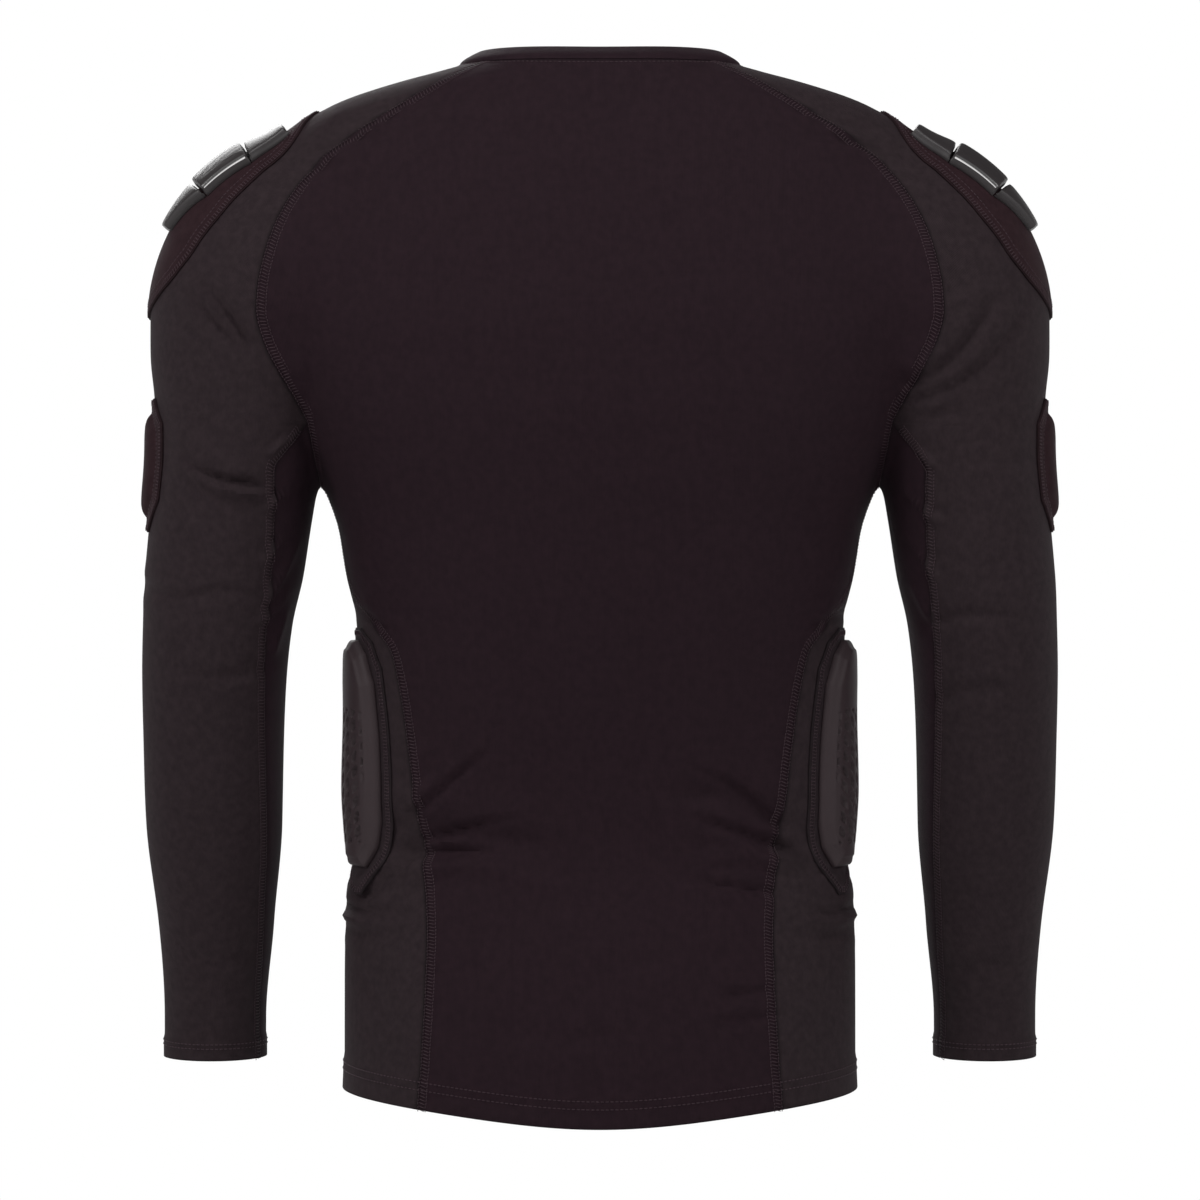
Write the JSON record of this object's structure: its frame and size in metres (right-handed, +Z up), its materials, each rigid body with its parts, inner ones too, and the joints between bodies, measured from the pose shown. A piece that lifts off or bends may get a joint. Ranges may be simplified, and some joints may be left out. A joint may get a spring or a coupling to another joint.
{
  "type": "padded compression shirt",
  "caption": "Long-sleeved close-fitting shirt with raglan sleeves, side panels, shoulder plates, and pads on the upper arms and waist.",
  "frame": {"origin": "middle of the body at the height of the shoulders by the neck, where a wearer holds the shirt up", "axes": "+Z up, -Y towards the front, +X towards the wearer's left"},
  "size_m": [0.6006, 0.2434, 0.6912],
  "materials": {
    "back_panel": "smooth purplish black knit",
    "front_panel": "smooth purplish black knit",
    "collar": "smooth purplish black knit",
    "side_panel_left": "charcoal knit",
    "sleeve_left": "charcoal knit",
    "underarm_left": "smooth purplish black knit",
    "shoulder_patch_left": "dark brown stretch fabric",
    "shoulder_plate_inner_left": "satin moulded rubber",
    "shoulder_plate_middle_left": "satin moulded rubber",
    "shoulder_plate_outer_left": "satin moulded rubber",
    "arm_pad_left": "dark brown stretch fabric over foam",
    "waist_pad_flange_left": "dark brown stretch fabric",
    "waist_pad_block_left": "matt skin of moulded foam",
    "side_panel_right": "charcoal knit",
    "sleeve_right": "charcoal knit",
    "underarm_right": "smooth purplish black knit",
    "shoulder_patch_right": "dark brown stretch fabric",
    "shoulder_plate_inner_right": "satin moulded rubber",
    "shoulder_plate_middle_right": "satin moulded rubber",
    "shoulder_plate_outer_right": "satin moulded rubber",
    "arm_pad_right": "dark brown stretch fabric over foam",
    "waist_pad_flange_right": "dark brown stretch fabric",
    "waist_pad_block_right": "matt skin of moulded foam"
  },
  "bodies": {
    "root": {"back_panel": "back_panel", "front_panel": "front_panel", "collar": "collar", "side_panel_left": "side_panel_left", "sleeve_left": "sleeve_left", "underarm_left": "underarm_left", "shoulder_patch_left": "shoulder_patch_left", "shoulder_plate_inner_left": "shoulder_plate_inner_left", "shoulder_plate_middle_left": "shoulder_plate_middle_left", "shoulder_plate_outer_left": "shoulder_plate_outer_left", "arm_pad_left": "arm_pad_left", "waist_pad_flange_left": "waist_pad_flange_left", "waist_pad_block_left": "waist_pad_block_left", "side_panel_right": "side_panel_right", "sleeve_right": "sleeve_right", "underarm_right": "underarm_right", "shoulder_patch_right": "shoulder_patch_right", "shoulder_plate_inner_right": "shoulder_plate_inner_right", "shoulder_plate_middle_right": "shoulder_plate_middle_right", "shoulder_plate_outer_right": "shoulder_plate_outer_right", "arm_pad_right": "arm_pad_right", "waist_pad_flange_right": "waist_pad_flange_right", "waist_pad_block_right": "waist_pad_block_right"}
  },
  "joints": []
}
